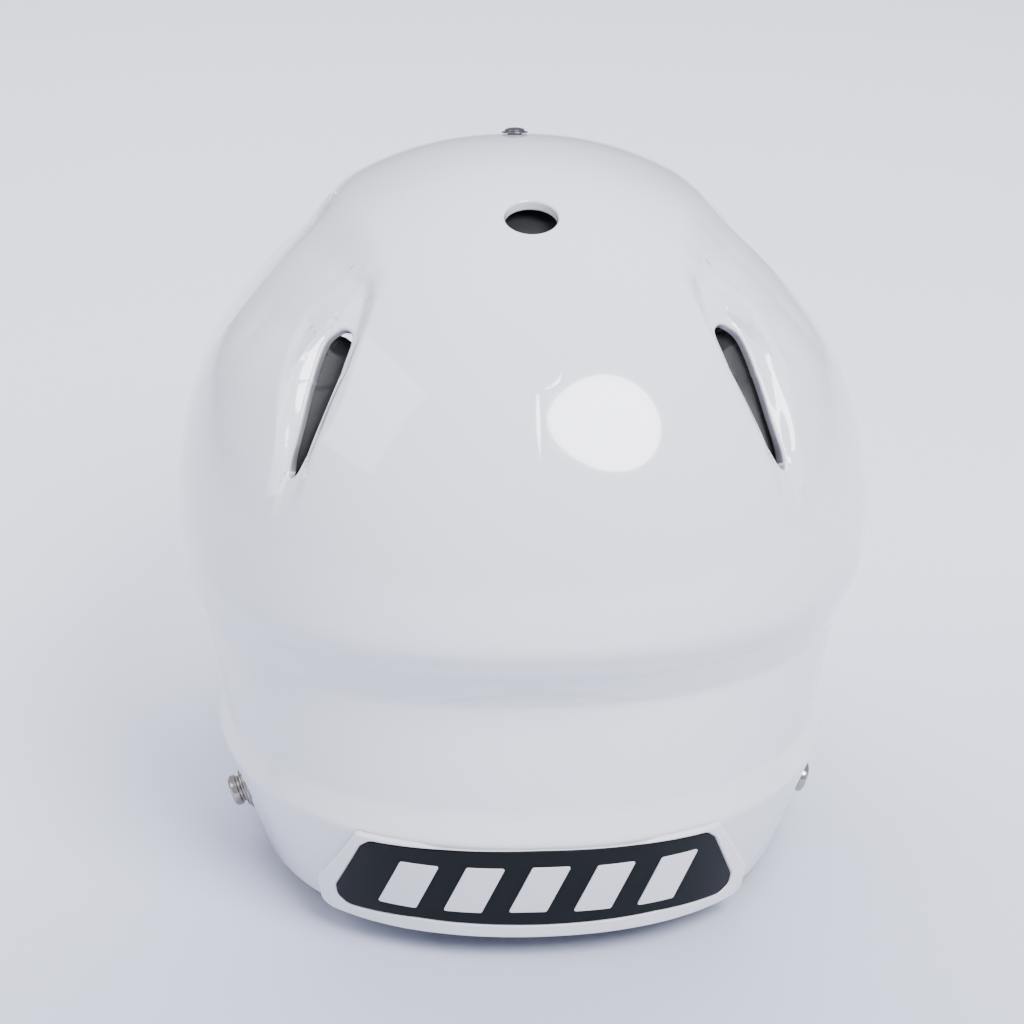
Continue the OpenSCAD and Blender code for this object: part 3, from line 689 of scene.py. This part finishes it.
def pad(name, node, a0, a1, z0, z1, back, thick, cells, rim=7.0):
    """Moulded pad of soft cells, parted by grooves; it fills the space of its plain solid."""
    h0, h1 = level(z0), level(z1)
    edge = patch_outline(a0, a1, h0, h1, PAD_CORNER)
    am, hm = math.radians((a0 + a1) / 2), (h0 + h1) / 2
    x = skin(polar(np.degrees([am, am, am + 0.01]), np.array([hm, hm + 0.01, hm])), LINER - thick)
    ku, kv = np.linalg.norm(x[2] - x[0]) * 100, np.linalg.norm(x[1] - x[0]) * 100
    wu, wv = math.radians(a1 - a0) * ku / cells[0], abs(h1 - h0) * kv / cells[1]

    def groove(q):
        """Distance to the nearest groove."""
        a = (np.arctan2(q[:, 0], q[:, 1]) - am + math.pi) % (2 * math.pi) - math.pi
        u, w = a * ku / wu + cells[0] / 2, (np.hypot(q[:, 0], q[:, 1]) - hm) * kv / wv + cells[1] / 2
        du = np.where(cells[0] > 1, np.abs(u - np.clip(np.round(u), 1, max(1, cells[0] - 1))) * wu, FAR)
        dw = np.where(cells[1] > 1, np.abs(w - np.clip(np.round(w), 1, max(1, cells[1] - 1))) * wv, FAR)
        return np.minimum(du, dw)

    def belly(q):
        d, g = edge(None, q), groove(q)
        dip = GROOVE_DEPTH * np.exp(-(g / GROOVE_WIDTH) ** 2) + PUFF * (1 - ease(g / PUFF_RUN))
        return skin(q, LINER - thick + (dip + PUFF * (1 - ease(d / EDGE_RUN))))

    ob = plate(name, node, "pad_comfort", panel(a0 - 1, a1 + 1, h0 - 0.02, h1 + 0.02, 60, 50),
               at_offset(LINER - back), belly, edge, rim=rim, r_out=4.0, r_in=min(9.0, thick * 0.4),
               fine=2.2, steps=7, also=lambda x, q: groove(q))


pad("pad_front", "front_pad", 152, 208, 205, 154, 8, 28, (3, 1))
pad("pad_nape", "nape_pad", -27, 27, 92, 2.5, 0, 28, (3, 2))
for s, k in ((1, "l"), (-1, "r")):
    for name, a0, a1, z0, z1, back, thick, cells in (("side", 72, 132, 168, 100, 1, 26, (3, 2)),
                                                     ("rear", 3, 62, 204, 112, 2, 26, (2, 3)),
                                                     ("jaw", 127, 147, 78, 8, 1.5, 18, (1, 2))):
        lo, hi = (a0, a1) if s > 0 else (-a1, -a0)
        pad("pad_%s_%s" % (name, k), "%s_pad_%s" % (name, k), lo, hi, z0, z1, back, thick, cells,
            rim=5.0 if name == "jaw" else 7.0)


def crown_edge(x, q):
    return (0.40 - np.hypot(q[:, 0], q[:, 1])) * CROWN_MM


def crown_groove(q):
    """Distance to the ring round the middle cell and the six grooves outside it."""
    r, a = np.hypot(q[:, 0], q[:, 1]) * CROWN_MM, np.arctan2(q[:, 0], q[:, 1])
    spoke = np.abs((a / (math.pi / 3) + 0.5) % 1 - 0.5) * (math.pi / 3) * r
    return np.minimum(np.abs(r - CROWN_RING), np.where(r > CROWN_RING, spoke, FAR))


def crown_belly(q):
    g = crown_groove(q)
    dip = LINER - 20 + CROWN_GROOVE_DEPTH * np.exp(-(g / GROOVE_WIDTH) ** 2)
    return skin(q, dip + CROWN_PUFF * (1 - ease(g / PUFF_RUN)), dents=False)


ob = plate("pad_crown", "crown_pad", "pad_comfort", disc([i / 100 for i in range(1, 46)], 96),
           lambda q: skin(q, LINER - 3, dents=False), crown_belly, crown_edge, rim=7, r_out=4, r_in=8,
           fine=2.2, steps=7, also=lambda x, q: crown_groove(q))

# ---- snap studs and washers ------------------------------------------------------------
def lathe(profile, places, segs=48):
    """Turned solids of one profile (radius, height), standing on the surface at the given places."""
    prof = np.array(profile, float)
    vs, fs, count = [], [], 0
    ang = np.arange(segs) * 2 * math.pi / segs
    for a, h in places:
        c, n = place(a, h)
        u = unit(np.cross([0, 0, 1.0], n))
        w = np.cross(n, u)
        ring = np.cos(ang)[:, None] * u + np.sin(ang)[:, None] * w
        vs.append((c + prof[:, None, :1] * ring[None] + prof[:, None, 1:] * n).reshape(-1, 3))
        i, j = np.meshgrid(np.arange(len(prof)), np.arange(segs), indexing="ij")
        i2, j2 = (i + 1) % len(prof), (j + 1) % segs
        quad = np.stack([i * segs + j, i * segs + j2, i2 * segs + j2, i2 * segs + j], -1).reshape(-1, 4)
        fs.append(quad + count)
        count += len(vs[-1])
    return np.concatenate(vs), np.concatenate(fs)


def turned(points, radius=0.35):
    """Closed profile with its corners rounded."""
    return round_ring(points, radius, 4)


STUDS = [(80, level(20.5)), (-80, level(20.5)), (106, level(84)), (-106, level(84))]
v, f = lathe(turned([(0.05, -8), (2.4, -8), (2.4, 1.4), (6.8, 1.4), (6.8, 2.0), (5.2, 2.3), (4.6, 2.9),
                     (4.7, 3.5), (5.4, 3.8), (5.4, 5.6), (4.9, 6.35), (3.9, 6.4), (3.4, 5.4), (1.6, 5.2),
                     (1.2, 5.7), (0.05, 5.8)]), STUDS)
piece(make("strap_studs", v, f, mat=MATS["stud_nickel"], sharp=50), "snap_studs")
v, f = lathe(turned([(0.05, -7), (2.4, -7), (2.4, 0.3), (4.4, 0.3), (4.4, 0.8), (3.5, 0.85), (3.2, 1.5),
                     (2.2, 1.95), (1.1, 2.05), (0.9, 1.2), (0.05, 1.15)], 0.25), [(180, level(235))], 40)
piece(make("crown_pan_screw", v, f, mat=MATS["screw_dark"], sharp=50), "crown_screw")
v, f = lathe(turned([(2.55, 0.3), (8, 0.3), (8, 1.0), (7.4, 1.3), (2.55, 1.3)], 0.25), STUDS)
piece(make("strap_washers", v, f, mat=MATS["stud_nickel"], sharp=50), "stud_washers")

# ---- carried CAD nodes -----------------------------------------------------------------
FINISH = {"bumper_screws": "screw_steel", "brow_screw": "screw_steel",
          "facemask": "mask_coating", "brow_clips": "clip_plastic", "brow_clip_screws": "screw_steel",
          "brow_clip_nuts": "screw_steel", "side_clip_l": "clip_plastic", "side_clip_r": "clip_plastic",
          "turn_lock_l": "lock_steel", "turn_lock_r": "lock_steel", "stud_nuts": "screw_steel",
          "jaw_snaps": "snap_black"}
for node, slot in FINISH.items():
    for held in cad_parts[node].material_slots:
        held.material = MATS[slot]

# ---- camera ----------------------------------------------------------------------------
PITCH, YAW, ROLL, DIST, FOCAL = 23.06, 3.77, 0.41, 883.56, 91.94
TARGET = np.array([2.37, 0.0, 113.69])


def aim(ob, eye, target, roll=0.0):
    """Puts an object at eye, looking at target."""
    back = unit(np.array(eye, float) - np.array(target, float))
    right = unit(np.cross([0, 0, 1.0], back))
    up = np.cross(back, right)
    r = math.radians(roll)
    right, up = math.cos(r) * right + math.sin(r) * up, -math.sin(r) * right + math.cos(r) * up
    m = Matrix([list(c) for c in np.stack([right, up, back], -1)]).to_4x4()
    m.translation = Vector([float(c) * MM for c in np.asarray(eye) + SHIFT])
    ob.matrix_world = m


cam = bpy.data.objects.new("camera", bpy.data.cameras.new("camera"))
bpy.context.scene.collection.objects.link(cam)
cam.data.sensor_width = 36.0
cam.data.lens = FOCAL
cam.data.clip_end = 100
e, w = math.radians(PITCH), math.radians(YAW)
eye = TARGET + DIST * np.array([math.sin(w) * math.cos(e), math.cos(w) * math.cos(e), math.sin(e)])
aim(cam, eye, TARGET, ROLL)
bpy.context.scene.camera = cam


# ---- light and stage -------------------------------------------------------------------
def lamp(name, eye, target, size, power, shape="RECTANGLE"):
    """Area light at eye, facing target."""
    d = bpy.data.lights.new(name, "AREA")
    d.shape = shape
    d.size, d.size_y = size[0] * MM, size[1] * MM
    d.energy = power
    d.color = (0.97, 0.98, 1.0)
    ob = bpy.data.objects.new(name, d)
    bpy.context.scene.collection.objects.link(ob)
    aim(ob, eye, target)
    return ob


def beam(name, towards, dist, size, power, shape="RECTANGLE"):
    """Area light in a given direction from the helmet, facing it."""
    c = np.array([0, 0, 130.0])
    return lamp(name, c + unit(np.array(towards, float)) * dist, c, size, power, shape)


world = bpy.data.worlds.new("world")
bpy.context.scene.world = world
world.use_nodes = True
bg = world.node_tree.nodes["Background"]
bg.inputs["Color"].default_value = (0.72, 0.74, 0.90, 1)
bg.inputs["Strength"].default_value = 1.02
beam("overhead", (0, -0.62, 1), 1900, (2400, 1500), 56).visible_glossy = False
beam("round_key", (-0.321, 0.657, 0.683), 1200, (620, 620), 24, shape="DISK")
beam("side_key", (0.70, 0.30, 0.63), 1200, (730, 620), 4.5)
for k in range(3):
    lamp("strip_%d" % k, (140, -240 + 120 * k, 1300), (140, -240 + 120 * k, 0), (600, 25), 0.9)


def floor_paper_painted_shade():
    """Matte sweep, painted darker towards the front and with a painted shadow by the helmet's rear edge.
    """
    m = material("floor_paper_painted_shade", (0.9, 0.9, 0.95), 0.75, bump=((400, 0.02),))
    nt = m.node_tree
    pos, sep = nt.nodes.new("ShaderNodeNewGeometry"), nt.nodes.new("ShaderNodeSeparateXYZ")
    ramp, span = nt.nodes.new("ShaderNodeValToRGB"), nt.nodes.new("ShaderNodeMapRange")
    # painted shade: the floor's colour follows its Y and is a little darker towards the camera
    span.inputs["From Min"].default_value, span.inputs["From Max"].default_value = 1.85, -1.35
    nt.links.new(pos.outputs["Position"], sep.inputs[0])
    nt.links.new(sep.outputs["Y"], span.inputs["Value"])
    nt.links.new(span.outputs[0], ramp.inputs["Fac"])
    el = ramp.color_ramp.elements
    el[0].position, el[0].color = 0.0, (0.90, 0.90, 0.98, 1)
    el[1].position, el[1].color = 1.0, (0.93, 0.93, 1.0, 1)
    # painted shadow: these stops lay a dark band across the floor under and just behind the helmet's rear
    # edge
    for at, c in ((0.38, (0.80, 0.82, 0.93, 1)), (0.515, (0.55, 0.58, 0.70, 1)),
                  (0.59, (0.72, 0.74, 0.86, 1)), (0.63, (0.86, 0.87, 0.98, 1))):
        el.new(at).color = c
    nt.links.new(ramp.outputs["Color"], nt.nodes["Principled BSDF"].inputs["Base Color"])
    return m


FLOOR_HALF = 6000
corners = np.array([(-1, -1, 0), (1, -1, 0), (1, 1, 0), (-1, 1, 0)], float) * FLOOR_HALF
floor = make("floor", corners, np.array([(0, 1, 2, 3)]), mat=floor_paper_painted_shade())
